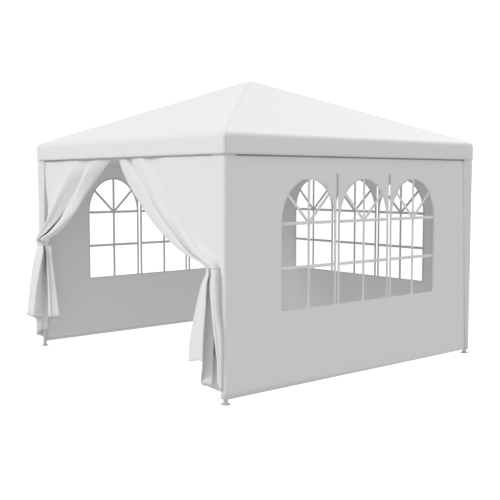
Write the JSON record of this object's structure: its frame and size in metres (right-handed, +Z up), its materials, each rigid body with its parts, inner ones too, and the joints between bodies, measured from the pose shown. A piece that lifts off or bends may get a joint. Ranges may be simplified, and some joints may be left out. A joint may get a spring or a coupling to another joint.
{
  "type": "marquee tent",
  "caption": "Square pitched marquee tent on a tube frame, with arched clear windows on its closed sides and a doorway between tied-back curtains.",
  "frame": {"origin": "on the ground under the roof's peak, at the middle of the four feet", "axes": "+Z up, -Y out through the doorway, +X to the right of someone who faces the doorway from outside"},
  "size_m": [3.056, 3.056, 2.6213],
  "materials": {
    "roof_cloth": "white coated tarpaulin cloth, satin, fine weave",
    "wall_cloth": "white coated wall cloth, satin, fine weave",
    "curtain_cloth": "white coated cloth, soft folds, satin",
    "clear_film": "clear flexible window film",
    "coated_steel": "light grey powder coat on steel tube",
    "foot_steel": "zinc-plated pressed steel"
  },
  "bodies": {
    "root": {"foot_front_right": "foot_steel", "foot_back_right": "foot_steel", "foot_back_left": "foot_steel", "foot_front_left": "foot_steel", "lower_leg_front_right": "coated_steel", "lower_leg_back_right": "coated_steel", "lower_leg_back_left": "coated_steel", "lower_leg_front_left": "coated_steel", "upper_leg_front_right": "coated_steel", "upper_leg_back_right": "coated_steel", "upper_leg_back_left": "coated_steel", "upper_leg_front_left": "coated_steel", "corner_connector_front_right": "coated_steel", "corner_connector_back_right": "coated_steel", "corner_connector_back_left": "coated_steel", "corner_connector_front_left": "coated_steel", "eave_rail_front": "coated_steel", "eave_rail_right": "coated_steel", "eave_rail_back": "coated_steel", "eave_rail_left": "coated_steel", "rafter_front_right": "coated_steel", "rafter_back_right": "coated_steel", "rafter_back_left": "coated_steel", "rafter_front_left": "coated_steel", "crown_hub": "coated_steel", "roof_panel_front": "roof_cloth", "roof_panel_right": "roof_cloth", "roof_panel_back": "roof_cloth", "roof_panel_left": "roof_cloth", "leg_sleeve_front_right": "wall_cloth", "leg_sleeve_back_right": "wall_cloth", "leg_sleeve_back_left": "wall_cloth", "leg_sleeve_front_left": "wall_cloth", "window_wall_right": "wall_cloth", "window_wall_back": "wall_cloth", "window_wall_left": "wall_cloth", "window_film_right": "clear_film", "window_film_back": "clear_film", "window_film_left": "clear_film", "curtain_left": "curtain_cloth", "curtain_right": "curtain_cloth", "tie_left": "curtain_cloth", "tie_right": "curtain_cloth"}
  },
  "joints": []
}
